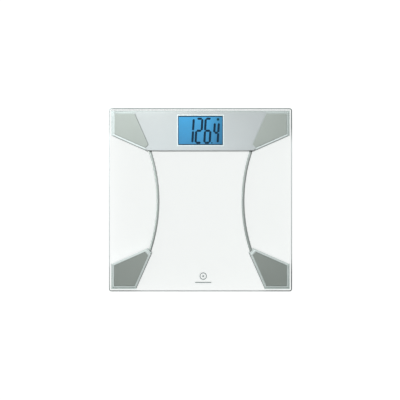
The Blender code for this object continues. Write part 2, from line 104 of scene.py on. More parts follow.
def noise(tree, coord, scale, detail=3.0, roughness=0.55, stretch=None):
    n = node(tree, "ShaderNodeTexNoise", {"Scale": scale, "Detail": detail, "Roughness": roughness})
    if stretch:
        mapping = node(tree, "ShaderNodeMapping", {"Scale": stretch})
        link(tree, coord, "Object", mapping, "Vector")
        link(tree, mapping, "Vector", n, "Vector")
    else:
        link(tree, coord, "Object", n, "Vector")
    return n


def rgb(color):
    return (*color, 1.0)


def mix_color(tree, fac, a, b):
    """Mix node whose factor, A or B may be an output socket or a constant."""
    m = node(tree, "ShaderNodeMix", data_type="RGBA")
    for index, value in ((0, fac), (6, a), (7, b)):
        plug(tree, value, m.inputs[index])
    return m.outputs[2]


NOISE_LOW, NOISE_HIGH = 0.3, 0.7  # nearly all of a noise texture's values lie between these
ROUGH_DRIFT = 0.06
COAT_ROUGHNESS = 0.12


def spread(tree, source, low, high):
    """Stretch a noise output over the range from low to high."""
    return ramp(tree, source, NOISE_LOW, NOISE_HIGH, low, high)


def surface(name, color, rough, metallic=0.0, vary=0.05, blotch=45.0, grain=2600.0, bump=0.15,
            depth=0.00004, stretch=None, coat=0.0, sheen=0.0, specular=0.5):
    """Moulded, painted or metal finish: broad drift of tone, with fine roughness and bump."""
    mat, tree, bsdf = new_material(name)
    coord = node(tree, "ShaderNodeTexCoord")
    broad = noise(tree, coord, blotch, 4.0, 0.6, stretch)
    fine = noise(tree, coord, grain, 2.0, 0.5, stretch)
    dark = rgb([c * (1 - vary) for c in color])
    light = rgb([min(1.0, c * (1 + vary)) for c in color])
    base = mix_color(tree, spread(tree, broad.outputs[0], 0.0, 1.0), dark, light)
    tree.links.new(base, bsdf.inputs["Base Color"])
    smoothest, roughest = max(0.02, rough - ROUGH_DRIFT), rough + ROUGH_DRIFT
    tree.links.new(spread(tree, fine.outputs[0], smoothest, roughest), bsdf.inputs["Roughness"])
    bumper = node(tree, "ShaderNodeBump", {"Strength": bump, "Distance": depth})
    tree.links.new(fine.outputs[0], bumper.inputs["Height"])
    link(tree, bumper, "Normal", bsdf, "Normal")
    bsdf.inputs["Metallic"].default_value = metallic
    bsdf.inputs["Coat Weight"].default_value = coat
    bsdf.inputs["Coat Roughness"].default_value = COAT_ROUGHNESS
    bsdf.inputs["Sheen Weight"].default_value = sheen
    bsdf.inputs["Specular IOR Level"].default_value = specular
    bsdf.inputs["IOR"].default_value = 1.5
    return mat


def dress(mat, *names):
    """Give CAD nodes their material."""
    for name in names:
        obj = nodes[name]
        obj.data.materials.clear()
        obj.data.materials.append(mat)


# ---------------------------------------------------------------- materials

# platform glass: clear, with the faint green of thick float glass
GLASS_TINT, EDGE_TINT, TINT_DENSITY = (0.97, 0.985, 0.98), (0.10, 0.56, 0.36), 8.2
glass, tree, bsdf = new_material("platform_glass")
coord = node(tree, "ShaderNodeTexCoord")
ripple = noise(tree, coord, 14.0, 2.0)
bsdf.inputs["Base Color"].default_value = (1.0, 1.0, 1.0, 1.0)
bsdf.inputs["Transmission Weight"].default_value = 1.0
bsdf.inputs["IOR"].default_value = 1.5
tree.links.new(spread(tree, ripple.outputs[0], 0.0, 0.012), bsdf.inputs["Roughness"])
light_path = node(tree, "ShaderNodeLightPath")
clear = node(tree, "ShaderNodeBsdfTransparent", {"Color": rgb(GLASS_TINT)})
shade = node(tree, "ShaderNodeMixShader")
body = node(tree, "ShaderNodeVolumeAbsorption",
            {"Color": rgb(EDGE_TINT), "Density": TINT_DENSITY})
out = tree.nodes["Material Output"]
link(tree, light_path, "Is Shadow Ray", shade, 0)
tree.links.new(bsdf.outputs[0], shade.inputs[1])
tree.links.new(clear.outputs[0], shade.inputs[2])
tree.links.new(shade.outputs[0], out.inputs["Surface"])
tree.links.new(body.outputs[0], out.inputs["Volume"])
dress(glass, "glass_platform")

pad = surface("pad_film", (0.42, 0.43, 0.405), 0.55, vary=0.03, blotch=30.0, bump=0.05)

# satin silver with a painted light gradient: painted shade at the toe end, paler toward the reader
# and toward the right
SILVER_SHADED, SILVER_LIT = (0.425, 0.418, 0.42), (0.632, 0.629, 0.645)
TOE_SIDE, READER_SIDE = 0.147, 0.083
PALER_PER_METRE, PALE_RIGHT_PER_METRE = 1.6, 5.0
silver = surface("satin_silver", SILVER_SHADED, 0.38, metallic=0.25, grain=5200.0, bump=0.12,
                 depth=0.00002)
tree = silver.node_tree
coord, axis = object_axes(tree)
fade = ramp(tree, axis["Y"], TOE_SIDE, READER_SIDE)
lean = calc(tree, "MULTIPLY_ADD", axis["X"], PALER_PER_METRE, fade)
silver_painted_light = mix_color(tree, lean, rgb(SILVER_SHADED), rgb(SILVER_LIT))
right = calc(tree, "MULTIPLY", axis["X"], PALE_RIGHT_PER_METRE)
silver_painted_light = mix_color(tree, right, silver_painted_light, rgb(SILVER_LIT))
flake = noise(tree, coord, 4200.0, 2.0)
glint = mix_color(tree, spread(tree, flake.outputs[0], 0.0, 0.12), silver_painted_light, rgb((0.9, 0.92, 0.94)))
tree.links.new(glint, tree.nodes["Principled BSDF"].inputs["Base Color"])

shell = surface("housing_plastic", (0.78, 0.80, 0.79), 0.36, vary=0.03, blotch=35.0,
                grain=3000.0, bump=0.10, coat=0.15)
cover = surface("cover_plastic", (0.58, 0.61, 0.60), 0.55, vary=0.04, blotch=50.0,
                grain=2200.0, bump=0.35, depth=0.00006)
pipe = surface("tube_plastic", (0.40, 0.41, 0.40), 0.26, vary=0.04, blotch=60.0, coat=0.5)
sheath = surface("cable_sheath", (0.025, 0.025, 0.028), 0.5, vary=0.15, blotch=120.0)
plated = surface("cell_plating", (0.55, 0.56, 0.57), 0.28, metallic=1.0, vary=0.05,
                 stretch=(1.0, 14.0, 1.0), blotch=90.0)
foot = surface("foot_plastic", (0.52, 0.55, 0.54), 0.5, vary=0.04, bump=0.25)
rubber = surface("sole_rubber", (0.035, 0.035, 0.037), 0.72, vary=0.2, blotch=160.0,
                 grain=1800.0, bump=0.5, depth=0.00008, sheen=0.1)
button = surface("button_plastic", (0.42, 0.45, 0.45), 0.45, vary=0.04, bump=0.2)
carrier = surface("frame_plastic", (0.72, 0.72, 0.69), 0.5, vary=0.03)
zebra = surface("zebra_rubber", (0.09, 0.09, 0.10), 0.7, vary=0.2, stretch=(60.0, 1.0, 1.0))
epoxy = surface("epoxy_blob", (0.012, 0.012, 0.013), 0.22, vary=0.2, bump=0.1)
tinned = surface("switch_metal", (0.45, 0.45, 0.46), 0.3, metallic=0.9, vary=0.06)
nickel = surface("contact_nickel", (0.66, 0.65, 0.61), 0.2, metallic=1.0, vary=0.05,
                 stretch=(1.0, 1.0, 9.0))
zinc = surface("screw_zinc", (0.60, 0.61, 0.62), 0.3, metallic=1.0, vary=0.08, blotch=400.0)

CORNERS = ("toe_left", "toe_right", "heel_left", "heel_right")
SIDES = ("left", "right")
dress(pad, *("bond_pad_" + c for c in CORNERS))
dress(shell, "display_housing", *("heel_pod_" + s for s in SIDES))
dress(cover, "back_cover", "battery_door", *("heel_cover_" + s for s in SIDES))
dress(pipe, *("cable_tube_" + s for s in SIDES))
dress(sheath, *("sensor_cable_" + c for c in CORNERS))
dress(plated, *("load_cell_" + c for c in CORNERS))
dress(foot, *("foot_cap_" + c for c in CORNERS))
dress(rubber, *("foot_sole_" + c for c in CORNERS))
dress(button, "unit_button")
dress(carrier, "lcd_frame")
dress(zebra, "zebra_strip")
dress(epoxy, "controller_chip")
dress(tinned, "unit_switch")
dress(nickel, "contact_positive", "contact_link_1", "contact_link_2", "contact_link_3",
      "contact_negative")
dress(zinc, *(n for n in nodes if "_screw_" in n))

# light guide: frosted acrylic glowing pale blue
guide = surface("light_guide", (0.62, 0.80, 0.92), 0.3, vary=0.03)
bsdf = guide.node_tree.nodes["Principled BSDF"]
bsdf.inputs["Emission Color"].default_value = (0.3, 0.6, 0.9, 1.0)
bsdf.inputs["Emission Strength"].default_value = 0.4
dress(guide, "backlight_guide")

# circuit board: green mask with traces
board, tree, bsdf = new_material("board_mask")
coord = node(tree, "ShaderNodeTexCoord")
brick = node(tree, "ShaderNodeTexBrick",
             {"Scale": 260.0, "Mortar Size": 0.10, "Color1": rgb((0.02, 0.14, 0.05)),
              "Color2": rgb((0.03, 0.17, 0.07)), "Mortar": rgb((0.06, 0.26, 0.12))})
link(tree, coord, "Object", brick, "Vector")
link(tree, brick, "Color", bsdf, "Base Color")
grit = noise(tree, coord, 1500.0)
tree.links.new(spread(tree, grit.outputs[0], 0.25, 0.4), bsdf.inputs["Roughness"])
dress(board, "main_board")

# cell wrap: bands along the can, measured from the middle of the battery bay
BAY_X, BANDS_PER_METRE, BAND_EDGE = 0.0722, 40.0, 0.62
wrap, tree, bsdf = new_material("cell_wrap")
coord, axis = object_axes(tree)
from_middle = calc(tree, "ABSOLUTE", calc(tree, "SUBTRACT", axis["X"], BAY_X))
steps = node(tree, "ShaderNodeValToRGB")
steps.color_ramp.interpolation = "CONSTANT"
steps.color_ramp.elements[0].color = rgb((0.10, 0.13, 0.17))
steps.color_ramp.elements[1].position = BAND_EDGE
steps.color_ramp.elements[1].color = rgb((0.62, 0.64, 0.66))
plug(tree, calc(tree, "MULTIPLY", from_middle, BANDS_PER_METRE), steps.inputs["Fac"])
link(tree, steps, "Color", bsdf, "Base Color")
scuff = noise(tree, coord, 900.0)
tree.links.new(spread(tree, scuff.outputs[0], 0.18, 0.34), bsdf.inputs["Roughness"])
bsdf.inputs["Metallic"].default_value = 0.5
dress(wrap, "battery_1", "battery_2", "battery_3", "battery_4")

# lit display cell: a backlit blue glow, with painted shade that darkens it toward the reader and
# dims it at the right
CELL_LOW, CELL_HIGH, DIM_START, DIM_END = 0.0905, 0.1385, 0.012, 0.038
BRIGHT, DIM = 0.9, 0.5
lit, tree, bsdf = new_material("lcd_blue")
coord, axis = object_axes(tree)
cloud = noise(tree, coord, 60.0, 3.0)
height = calc(tree, "ADD", ramp(tree, axis["Y"], CELL_LOW, CELL_HIGH),
              spread(tree, cloud.outputs[0], -0.10, 0.10))
tone = node(tree, "ShaderNodeValToRGB")
tone.color_ramp.elements[0].color = rgb((0.062, 0.30, 0.59))
tone.color_ramp.elements[1].color = rgb((0.076, 0.45, 0.855))
plug(tree, height, tone.inputs["Fac"])
link(tree, tone, "Color", bsdf, "Emission Color")
plug(tree, ramp(tree, axis["X"], DIM_START, DIM_END, BRIGHT, DIM),
     bsdf.inputs["Emission Strength"])
bsdf.inputs["Base Color"].default_value = (0.01, 0.03, 0.05, 1)
bsdf.inputs["Roughness"].default_value = 0.12
dress(lit, "lcd_panel")

ink = surface("lcd_segment", (0.001, 0.022, 0.050), 0.5, vary=0.3, blotch=90.0, bump=0.0,
              specular=0.05)
# dark display border: partly the cell's own border, partly painted shadow of the window's edge
border_and_window_shadow = surface("lcd_border", (0.010, 0.050, 0.085), 0.4, vary=0.3, blotch=90.0, bump=0.0,
                   specular=0.1)
dot_ink = surface("lcd_dot", (0.002, 0.050, 0.070), 0.4, vary=0.2, bump=0.0, specular=0.05)
# pale window lip: a painted highlight on the window's edge
window_lip_highlight = surface("window_lip", (0.86, 0.90, 0.91), 0.25, vary=0.02, coat=0.3)
# pale bead on the toe rims: a painted highlight of the rims' edge catching light
bead_painted_highlight = surface("bead_highlight_plastic", (0.84, 0.86, 0.86), 0.3, vary=0.02, coat=0.2)

# toe rims: a darker, shaded copy of the rim plastic, with painted light that pales it on the left
# side and toward the right end
RIM_LIT_LEFT, RIM_LIT_RIGHT = (0.68, 0.70, 0.70), (0.57, 0.59, 0.58)
RIGHT_FROM, RIGHT_TO = 0.05, 0.12
LEFT_FROM, LEFT_TO = -0.1438, -0.1446
toe_rim_shade_and_light = surface("toe_rim_shaded_lit_plastic", (0.50, 0.52, 0.51), 0.35, vary=0.02, coat=0.1)
tree = toe_rim_shade_and_light.node_tree
base = tree.nodes["Principled BSDF"].inputs["Base Color"]
coord, axis = object_axes(tree)
rim_lit_tone = mix_color(tree, ramp(tree, axis["X"], RIGHT_FROM, RIGHT_TO), base.links[0].from_socket,
                   rgb(RIM_LIT_RIGHT))
rim_lit_tone = mix_color(tree, ramp(tree, axis["X"], LEFT_FROM, LEFT_TO), rim_lit_tone, rgb(RIM_LIT_LEFT))
tree.links.new(rim_lit_tone, base)

# heel rims and heel beads: a paler copy of the rim plastic, painted light on rims that face away
# from the key
heel_rim_painted_light = surface("heel_rim_lit_plastic", (0.88, 0.90, 0.89), 0.35, vary=0.02, coat=0.1)
# dark joint lines: strips that paint the shadow in the gaps round the pads
joint_painted_shadow = surface("joint_shadow", (0.16, 0.165, 0.16), 0.6, vary=0.1, bump=0.1, specular=0.2)

# ground edge of the glass with painted shade: darker beside the pods and along the toe edge, less
# so on the left
GROUND_SHADE, GROUND_PALE = (0.05, 0.055, 0.055), (0.90, 0.92, 0.92)
LEFT_SHARE, LEFT_LEAST = 0.45, 0.16
POD_FROM, POD_TO, TOE_FROM, TOE_TO = 0.095, 0.120, 0.146, 0.150
LEFT_EDGE, SHARE_END, LEAST_END = -0.150, -0.145, -0.146
ground = surface("ground_edge", GROUND_PALE, 0.7, blotch=200.0, bump=0.3)
tree = ground.node_tree
coord, axis = object_axes(tree)
nearer = calc(tree, "MINIMUM", calc(tree, "ABSOLUTE", axis["X"]), calc(tree, "ABSOLUTE", axis["Y"]))
edge_painted_shade = calc(tree, "MAXIMUM", ramp(tree, nearer, POD_FROM, POD_TO),
                ramp(tree, axis["Y"], TOE_FROM, TOE_TO))
edge_painted_shade = calc(tree, "MULTIPLY", edge_painted_shade,
                ramp(tree, axis["X"], LEFT_EDGE, SHARE_END, LEFT_SHARE))
edge_painted_shade = calc(tree, "MAXIMUM", edge_painted_shade,
                ramp(tree, axis["X"], LEFT_EDGE, LEAST_END, LEFT_LEAST, 0.0))
chatter = noise(tree, coord, 700.0)
edge_painted_shade = calc(tree, "MULTIPLY", edge_painted_shade, spread(tree, chatter.outputs[0], 0.88, 1.0))
tree.links.new(mix_color(tree, edge_painted_shade, rgb(GROUND_PALE), rgb(GROUND_SHADE)),
               tree.nodes["Principled BSDF"].inputs["Base Color"])
frosted = surface("frosted_side", (0.24, 0.46, 0.38), 0.6, vary=0.08, blotch=90.0, bump=0.2)
mark = surface("printed_mark", (0.48, 0.50, 0.50), 0.6, vary=0.05, bump=0.05)

# ---------------------------------------------------------------- pieces


def piece(name, bm, mat, body, smooth=False):
    """Object made from a mesh drawn in millimetres, riding on a body."""
    bmesh.ops.recalc_face_normals(bm, faces=bm.faces[:])
    bmesh.ops.scale(bm, verts=bm.verts[:], vec=(MM, MM, MM))
    mesh = bpy.data.meshes.new(name)
    bm.to_mesh(mesh)
    bm.free()
    if smooth:
        mesh.polygons.foreach_set("use_smooth", [True] * len(mesh.polygons))
    obj = bpy.data.objects.new(name, mesh)
    scene.collection.objects.link(obj)
    obj.data.materials.append(mat)
    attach(obj, body)
    return obj


def prism(bm, pts, z0, z1):
    """Flat outline raised from z0 to z1."""
    low = [bm.verts.new((x, y, z0)) for x, y in pts]
    high = [bm.verts.new((x, y, z1)) for x, y in pts]
    bm.faces.new(list(reversed(low)))
    bm.faces.new(high)
    for i in range(len(pts)):
        j = (i + 1) % len(pts)
        bm.faces.new((low[i], low[j], high[j], high[i]))


def join_loops(bm, loops):
    """Skin a closed chain of closed loops that all have the same number of points."""
    for i, a in enumerate(loops):
        b = loops[(i + 1) % len(loops)]
        for k in range(len(a)):
            m = (k + 1) % len(a)
            bm.faces.new((a[k], a[m], b[m], b[k]))


def sweep(bm, rows):
    """Skin a run of equal profiles from the first to the last, with both ends closed."""
    for a, b in zip(rows, rows[1:]):
        for i in range(len(a)):
            j = (i + 1) % len(a)
            bm.faces.new((a[i], a[j], b[j], b[i]))
    bm.faces.new(rows[0])
    bm.faces.new(list(reversed(rows[-1])))


# All lengths from here to the camera are in millimetres.
WINDOW_LOW, WINDOW_HIGH, WINDOW_HALF = 91.4, 140.4, 37.5
FASCIA_HALF = [(89.0, 82.7), (91.9, 86.6), (86.5, 92.2), (110.7, 147.0)]
FASCIA_Z0, FASCIA_Z1, FASCIA_EDGE = 18.2, 18.7, 0.1


def window_corners(out_x, out_low, out_high):
    """Corners of the display window, moved outward at the sides, bottom and top."""
    x, y0, y1 = WINDOW_HALF + out_x, WINDOW_LOW - out_low, WINDOW_HIGH + out_high
    return [(-x, y0), (x, y0), (x, y1), (-x, y1)]


def filled_plate(name, outlines, z0, z1, edge, mat, body):
    """Flat plate with rounded edges: the first outline is its rim, the others are holes."""
    curve = bpy.data.curves.new(name, "CURVE")
    curve.dimensions = "2D"
    curve.fill_mode = "BOTH"
    curve.extrude = (z1 - z0) / 2 - edge
    curve.bevel_depth = edge
    curve.bevel_resolution = 2
    curve.offset = -edge
    for pts in outlines:
        spline = curve.splines.new("POLY")
        spline.points.add(len(pts) - 1)
        for point, (x, y) in zip(spline.points, pts):
            point.co = (x, y, 0.0, 1.0)
        spline.use_cyclic_u = True
    drawn = bpy.data.objects.new(name + "_curve", curve)
    scene.collection.objects.link(drawn)
    graph = bpy.context.evaluated_depsgraph_get()
    mesh = bpy.data.meshes.new_from_object(drawn.evaluated_get(graph))
    bpy.data.objects.remove(drawn, do_unlink=True)
    bm = bmesh.new()
    bm.from_mesh(mesh)
    bmesh.ops.remove_doubles(bm, verts=bm.verts[:], dist=0.0005)
    bmesh.ops.translate(bm, verts=bm.verts[:], vec=(0.0, 0.0, (z0 + z1) / 2))
    return piece(name, bm, mat, body)


fascia_rim = FASCIA_HALF + [(-x, y) for x, y in reversed(FASCIA_HALF)]
fascia = filled_plate("fascia_panel", [fascia_rim, window_corners(0.0, 0.0, 0.0)], FASCIA_Z0,
                      FASCIA_Z1, FASCIA_EDGE, silver, "scale")
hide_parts("display_fascia")

# raised lip round the window, pale as a painted highlight on the window's edge: share of its width
# outward, and height
LIP_WIDTH = 1.7
LIP_PROFILE = [(0.0, 18.1), (0.0, 18.55), (0.25, 18.88), (0.75, 18.88), (1.0, 18.74), (1.0, 18.72),
               (0.1, 18.72), (0.02, 18.1)]
bm = bmesh.new()
join_loops(bm, [[bm.verts.new((x, y, z)) for x, y in window_corners(*[LIP_WIDTH * share] * 3)]
                for share, z in LIP_PROFILE])
piece("window_lip", bm, window_lip_highlight, "scale")

# dark border of the display cell, partly the cell's own border and partly painted shadow of the
# window's edge, wider at the bottom than at the top and sides
BORDER_SIDE, BORDER_LOW, BORDER_TOP, BORDER_SPILL = 1.0, 1.9, 1.7, 0.6
BORDER_Z0, BORDER_Z1 = 17.24, 17.30
inner = window_corners(-BORDER_SIDE, -BORDER_LOW, -BORDER_TOP)
outer = window_corners(BORDER_SPILL, BORDER_SPILL, BORDER_SPILL)
bm = bmesh.new()
join_loops(bm, [[bm.verts.new((x, y, z)) for x, y in pts]
                for pts, z in ((inner, BORDER_Z0), (inner, BORDER_Z1), (outer, BORDER_Z1),
                               (outer, BORDER_Z0))])
piece("lcd_border_line", bm, border_and_window_shadow, "scale")

# seven-segment digits
SLANT, STROKE, NIP, TIP_SHARE = 0.06, 3.7, 0.35, 0.42
DIGIT_LOW, DIGIT_TOP, SHORT_TOP = 95.4, 135.6, 128.8
SEG_Z0, SEG_Z1 = 17.25, 17.32
SEGMENTS = {"1": "bc", "2": "abged", "6": "afgedc", "4": "fgbc"}
DIGITS = (("1", -22.6, -13.6, DIGIT_TOP), ("2", -8.3, 0.8, DIGIT_TOP), ("6", 6.4, 15.4, DIGIT_TOP),
          ("4", 22.0, 28.7, SHORT_TOP))


def bar(bm, p, q):
    """One slanted segment with pointed ends, from p to q, pulled in a little at each end."""
    a, b = Vector(p), Vector(q)
    d = (b - a).normalized()
    a, b = a + d * NIP, b - d * NIP
    n = Vector((-d.y, d.x)) * (STROKE / 2)
    tip = d * (STROKE * TIP_SHARE)
    pts = [a, a + tip + n, b - tip + n, b, b - tip - n, a + tip - n]
    prism(bm, [(v.x + (v.y - DIGIT_LOW) * SLANT, v.y) for v in pts], SEG_Z0, SEG_Z1)


def digit(bm, char, left, right, top):
    """Digit from its lettered segments, a at the top, then clockwise, g in the middle."""
    bottom = DIGIT_LOW
    mid = (bottom + top) / 2
    ends = {"a": ((left, top), (right, top)), "b": ((right, mid), (right, top)),
            "c": ((right, bottom), (right, mid)), "d": ((left, bottom), (right, bottom)),
            "e": ((left, bottom), (left, mid)), "f": ((left, mid), (left, top)),
            "g": ((left, mid), (right, mid))}
    for key in SEGMENTS[char]:
        bar(bm, *ends[key])


bm = bmesh.new()
for char, left, right, top in DIGITS:
    digit(bm, char, left, right, top)
piece("lcd_digits", bm, ink, "scale")


def circle(cx, cy, r, count):
    return [(cx + r * math.cos(2 * math.pi * i / count), cy + r * math.sin(2 * math.pi * i / count))
            for i in range(count)]


def disc(bm, cx, cy, r, z0, z1):
    prism(bm, circle(cx, cy, r, 24), z0, z1)


DOTS = ((29.4, 134.4, 2.3), (19.0, 95.3, 1.2))
bm = bmesh.new()
for x, y, r in DOTS:
    disc(bm, x, y, r, SEG_Z0, SEG_Z1)
piece("lcd_dots", bm, dot_ink, "scale")

# plain printed mark under the glass: a ring with a dot, above a short bar
MARK_X, MARK_Y, MARK_Z0, MARK_Z1 = 4.6, -127.4, 18.86, 18.94
RING_IN, RING_OUT, DOT_R = 4.6, 6.2, 1.8
BAR_X0, BAR_X1, BAR_Y0, BAR_Y1 = -9.0, 18.2, -138.9, -137.0
bm = bmesh.new()
join_loops(bm, [[bm.verts.new((x, y, z)) for x, y in circle(MARK_X, MARK_Y, r, 40)]
                for r, z in ((RING_IN, MARK_Z0), (RING_OUT, MARK_Z0), (RING_OUT, MARK_Z1),
                             (RING_IN, MARK_Z1))])
disc(bm, MARK_X, MARK_Y, DOT_R, MARK_Z0, MARK_Z1)
prism(bm, [(BAR_X0, BAR_Y0), (BAR_X1, BAR_Y0), (BAR_X1, BAR_Y1), (BAR_X0, BAR_Y1)], MARK_Z0,
      MARK_Z1)
piece("printed_mark", bm, mark, "scale")

# Rims and joint lines round the pads. The pale toe beads are a painted highlight, the toe and heel
# rims are shaded and lit copies of one plastic with painted light, and the dark joint and shadow
# lines are painted shadow in the gaps. POD is one pod's outline, its corners measured inward from
# the two nearest sides of the glass. Every profile lists (distance inward from the pod's edge,
# height), and the truncated tip is drawn further in by TIP_EXTRA.
PLATE_HALF, PLATE_R, ARRIS = 152.5, 4.0, 1.35
POD = [(4.5, 4.5), (45.3, 4.5), (71.6, 64.0), (64.0, 71.6), (4.5, 45.3)]
TIP_EXTRA = 3.0
BEAD = [(3.86, 17.98), (3.86, 18.34), (3.76, 18.42), (1.95, 18.42), (1.75, 18.34), (0.62, 17.60),
        (0.62, 17.30)]
JOINT = [(4.48, 17.95), (4.48, 18.24), (3.88, 18.24), (3.88, 17.95)]
WIDE_JOINT = [(4.48, 17.95), (4.48, 18.24), (3.30, 18.24), (3.30, 17.95)]
FLANGE = [(1.50, 17.30), (1.50, 17.74), (-1.10, 17.70), (-1.20, 17.60), (-1.20, 17.10)]
SHADOW_LINE = [(0.60, 17.20), (0.60, 17.62), (0.05, 17.50), (0.05, 17.20)]


def inset(pts, amounts):
    """Move every edge of an anticlockwise outline inward by its own amount."""
    count = len(pts)
    lines = []
    for i in range(count):
        a, b = Vector(pts[i]), Vector(pts[(i + 1) % count])
        d = (b - a).normalized()
        lines.append((a + Vector((-d.y, d.x)) * amounts[i], d))
    out = []
    for i in range(count):
        (p, d), (q, e) = lines[i - 1], lines[i]
        t = ((q.x - p.x) * e.y - (q.y - p.y) * e.x) / (d.x * e.y - d.y * e.x)
        out.append((p.x + d.x * t, p.y + d.y * t))
    return out


def bead(bm, profile, sx, sy, stops):
    """Strip along one pod's outline, from corner to corner through the numbered stops."""
    shells = [inset(POD, [d, d, d + TIP_EXTRA, d, d]) for d, z in profile]
    sweep(bm, [[bm.verts.new((sx * (PLATE_HALF - shell[k][0]), sy * (PLATE_HALF - shell[k][1]), z))
                for shell, (d, z) in zip(shells, profile)] for k in stops])


POD_SPOTS = {"toe_left": (-1, 1), "toe_right": (1, 1), "heel_left": (-1, -1), "heel_right": (1, -1)}
for name, (sx, sy) in POD_SPOTS.items():
    toe = sy > 0
    facing_glass = (3, 4) if toe else (1, 2)
    bm = bmesh.new()
    bead(bm, BEAD, sx, sy, facing_glass)
    piece("rim_bead_" + name, bm, bead_painted_highlight if toe else heel_rim_painted_light, "scale")
    bm = bmesh.new()
    bead(bm, BEAD, sx, sy, (4, 0, 1) if toe else (2, 3, 4, 0, 1))
    if not toe:
        bead(bm, FLANGE, sx, sy, (4, 0, 1))
    elif sx > 0:
        bead(bm, JOINT, sx, sy, (1, 2, 3))
    piece("rim_" + name, bm, toe_rim_shade_and_light if toe else heel_rim_painted_light, "scale")
    bm = bmesh.new()
    bead(bm, JOINT, sx, sy, (3, 4) if toe else (3, 4, 0, 1))
    if name == "toe_left":
        bead(bm, WIDE_JOINT, sx, sy, (1, 2, 3))
    bead(bm, SHADOW_LINE, sx, sy, facing_glass)
    piece("joint_shadow_line_" + name, bm, joint_painted_shadow, "scale")

# lip of the display housing, along the toe edge and both toe corners
SHELL_X = PLATE_HALF - POD[0][0]
SHELL_LOW, SHELL_HIGH = PLATE_HALF - POD[4][1], PLATE_HALF - POD[0][1]
SHELL = [(-SHELL_X, SHELL_LOW), (SHELL_X, SHELL_LOW), (SHELL_X, SHELL_HIGH), (-SHELL_X, SHELL_HIGH)]
bm = bmesh.new()
runs = [inset(SHELL, [0.0, d, d, d]) for d, z in FLANGE]
sweep(bm, [[bm.verts.new((*run[k], z)) for run, (d, z) in zip(runs, FLANGE)] for k in (1, 2, 3, 0)])
# the lip takes the toe rims' darker, shaded copy of the rim plastic, with its painted light
piece("housing_lip", bm, toe_rim_shade_and_light, "scale")

CORNER_STEPS = 8


def rounded_square(half, radius):
    """Outline of a square with rounded corners."""
    pts = []
    for k, (sx, sy) in enumerate(((1, 1), (-1, 1), (-1, -1), (1, -1))):
        for i in range(CORNER_STEPS + 1):
            a = math.radians(90 * k + 90 * i / CORNER_STEPS)
            pts.append((sx * (half - radius) + radius * math.cos(a),
                        sy * (half - radius) + radius * math.sin(a)))
    return pts


def square_ring(steps):
    """Ring under the rounded outline of the glass, through steps of (distance inward, height)."""
    bm = bmesh.new()
    join_loops(bm, [[bm.verts.new((x, y, z))
                     for x, y in rounded_square(PLATE_HALF - d, PLATE_R - d)] for d, z in steps])
    return bm


# ground arris of the glass, just under its polished skin, and the frosted green side below it
SKIN, ARRIS_GAP, SIDE_SKIN = 0.22, 0.25, 0.10
ARRIS_RING = [(SKIN, 23.95), (ARRIS + ARRIS_GAP, 24.78), (ARRIS + ARRIS_GAP, 24.70), (SKIN, 23.87)]
SIDE_RING = [(SIDE_SKIN, 19.9), (SIDE_SKIN, 23.8), (SKIN, 23.8), (SKIN, 19.9)]
arris = piece("ground_arris", square_ring(ARRIS_RING), ground, "scale")
piece("ground_side", square_ring(SIDE_RING), frosted, "scale")

# cable tubes: smooth, with the bore the sensor cable runs through
ARC_R, ARC_CX, ARC_CY, TUBE_Z = 265.6, 336.9, -1.85, 12.0
TUBE_R, TUBE_BORE_R, TUBE_END = 2.5, 1.5, 0.35
TUBE_Y0, TUBE_Y1 = -86.4, 84.9
TUBE_STEPS, TUBE_SIDES = 72, 28


def arc_frame(side, y):
    """Centre and sideways direction of the tube's arc at one y."""
    angle = math.asin((y - ARC_CY) / ARC_R)
    x = ARC_CX - ARC_R * math.cos(angle)
    return Vector((side * x, y, TUBE_Z)), Vector((side * math.cos(angle), -math.sin(angle), 0.0))


def tube_ring(bm, side, y, radius):
    """Circle of points round the tube's arc at one y."""
    centre, across = arc_frame(side, y)
    ring_points = []
    for i in range(TUBE_SIDES):
        a = 2 * math.pi * i / TUBE_SIDES
        offset = across * (radius * math.cos(a)) + Vector((0.0, 0.0, radius * math.sin(a)))
        ring_points.append(bm.verts.new(centre + offset))
    return ring_points


for name, side in (("left", -1), ("right", 1)):
    bm = bmesh.new()
    outer = [(TUBE_Y0, TUBE_R - TUBE_END)]
    outer += [(TUBE_Y0 + TUBE_END + (TUBE_Y1 - TUBE_Y0 - 2 * TUBE_END) * i / TUBE_STEPS, TUBE_R)
              for i in range(TUBE_STEPS + 1)]
    outer += [(TUBE_Y1, TUBE_R - TUBE_END)]
    inner = [(y, TUBE_BORE_R) for y, r in reversed(outer)]
    rings = [tube_ring(bm, side, y, r) for y, r in outer + inner]
    join_loops(bm, rings)
    smooth_tube = piece("tube_" + name, bm, pipe, "scale", smooth=True)
    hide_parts("cable_tube_" + name)

# ---------------------------------------------------------------- edges on the CAD pieces

SHARP_ANGLE = 40.0


def soften(names, width, segments=2):
    """Bevel the sharp edges of CAD nodes by a width in millimetres."""
    for name in names:
        mod = nodes[name].modifiers.new("edge", "BEVEL")
        mod.width = width * MM
        mod.segments = segments
        mod.limit_method = "ANGLE"
        mod.angle_limit = math.radians(SHARP_ANGLE)
        mod.harden_normals = False


soften(["bond_pad_" + c for c in CORNERS], 0.12, 1)
soften(["display_housing"] + ["heel_pod_" + s for s in SIDES], 0.35)
soften(["back_cover", "battery_door", "unit_button"] + ["heel_cover_" + s for s in SIDES], 0.18)

# ---------------------------------------------------------------- camera and light

